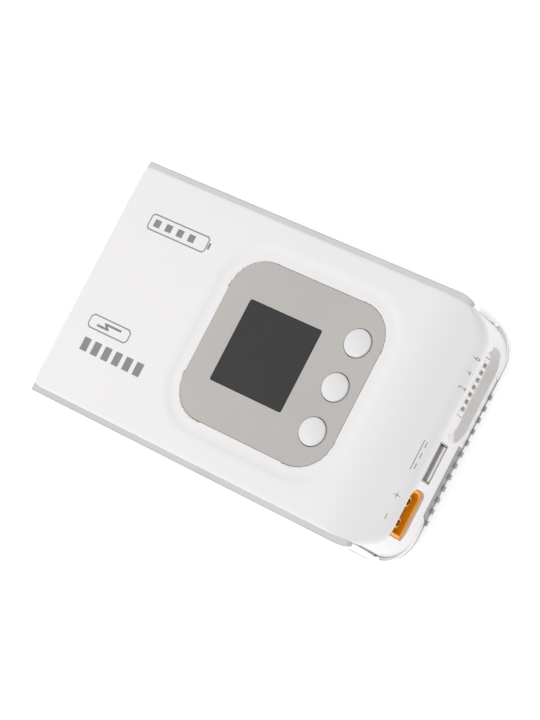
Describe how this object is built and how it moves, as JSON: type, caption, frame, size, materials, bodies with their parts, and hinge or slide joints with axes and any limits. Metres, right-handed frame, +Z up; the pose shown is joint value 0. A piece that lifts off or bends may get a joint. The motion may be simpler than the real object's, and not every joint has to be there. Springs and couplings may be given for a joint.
{
  "type": "balance battery charger",
  "caption": "Desktop balance charger for model batteries: sloped nose with battery, USB and balance sockets, colour display and push buttons on a grey panel.",
  "frame": {"origin": "middle of the overall box, on the surface the feet stand on", "axes": "+X towards the end with the sockets, +Z up, +Y towards the balance socket's side"},
  "size_m": [0.1404, 0.0864, 0.0283],
  "materials": {
    "cover_white": "smooth moulded, soft gloss",
    "shell_grey": "finely textured",
    "rear_grey": "finely textured",
    "trim_silver": "satin plated",
    "panel_grey": "satin",
    "window_dark": "smooth, dark",
    "display_glass": "clear",
    "moulding_black": "moulded",
    "board_green": "solder resist",
    "sheet_clear": "film",
    "housing_orange": "moulded nylon",
    "contact_gold": "plated",
    "socket_steel": "plated",
    "tongue_grey": "moulded",
    "bezel_grey": "moulded",
    "header_white": "moulded nylon",
    "ferrite_dark": "sintered",
    "tape_yellow": "tape",
    "can_sleeve": "sleeved can",
    "sink_aluminium": "extruded",
    "winding_copper": "enamelled wire",
    "fuse_glass": "clear",
    "screw_steel": "zinc plated",
    "foot_rubber": "moulded",
    "button_white": "smooth moulded"
  },
  "bodies": {
    "case": {"top_cover": "cover_white", "bottom_shell": "shell_grey", "rear_panel": "rear_grey", "trim_strip_output_side": "trim_silver", "trim_strip_balance_side": "trim_silver", "control_panel": "panel_grey", "display_window": "window_dark", "display_module": "display_glass", "display_frame": "moulding_black", "switch_bodies": "moulding_black", "control_board": "board_green", "control_chip": "moulding_black", "main_board": "board_green", "input_board": "board_green", "port_board": "board_green", "insulation_sheet": "sheet_clear", "board_link": "moulding_black", "output_housing": "housing_orange", "output_contacts": "contact_gold", "usb_shell": "socket_steel", "usb_tongue": "tongue_grey", "usb_contacts": "contact_gold", "balance_bezel": "bezel_grey", "balance_header": "header_white", "balance_pins": "contact_gold", "inlet_housing": "moulding_black", "inlet_pins": "socket_steel", "transformer_core": "ferrite_dark", "transformer_bobbin": "moulding_black", "transformer_winding": "tape_yellow", "bulk_capacitors": "can_sleeve", "output_capacitors": "can_sleeve", "primary_heat_sink": "sink_aluminium", "output_heat_sink": "sink_aluminium", "power_transistors": "moulding_black", "output_inductor": "winding_copper", "choke_core": "ferrite_dark", "choke_windings": "winding_copper", "line_capacitor": "tape_yellow", "fuse_link": "fuse_glass", "bridge_rectifier": "moulding_black", "fan_frame": "moulding_black", "fan_bearing": "contact_gold", "fan_stator": "winding_copper", "fan_screws": "screw_steel", "board_screws": "screw_steel", "case_screws": "screw_steel", "rubber_feet": "foot_rubber"},
    "fan": {"fan_rotor": "moulding_black", "fan_shaft": "socket_steel"},
    "key_1": {"button_1": "button_white", "plunger_1": "moulding_black"},
    "key_2": {"button_2": "button_white", "plunger_2": "moulding_black"},
    "key_3": {"button_3": "button_white", "plunger_3": "moulding_black"}
  },
  "joints": [
    {"name": "fan_spin", "type": "hinge", "parent": "case", "child": "fan", "pos_m": [-0.041, -0.012, 0.009], "axis": [0, 0, 1], "continuous": true},
    {"name": "key_1_press", "type": "slide", "parent": "case", "child": "key_1", "axis": [0, 0, -1], "range_m": [0, 0.0003], "stiffness_N_per_m": 1500},
    {"name": "key_2_press", "type": "slide", "parent": "case", "child": "key_2", "axis": [0, 0, -1], "range_m": [0, 0.0003], "stiffness_N_per_m": 1500},
    {"name": "key_3_press", "type": "slide", "parent": "case", "child": "key_3", "axis": [0, 0, -1], "range_m": [0, 0.0003], "stiffness_N_per_m": 1500}
  ]
}
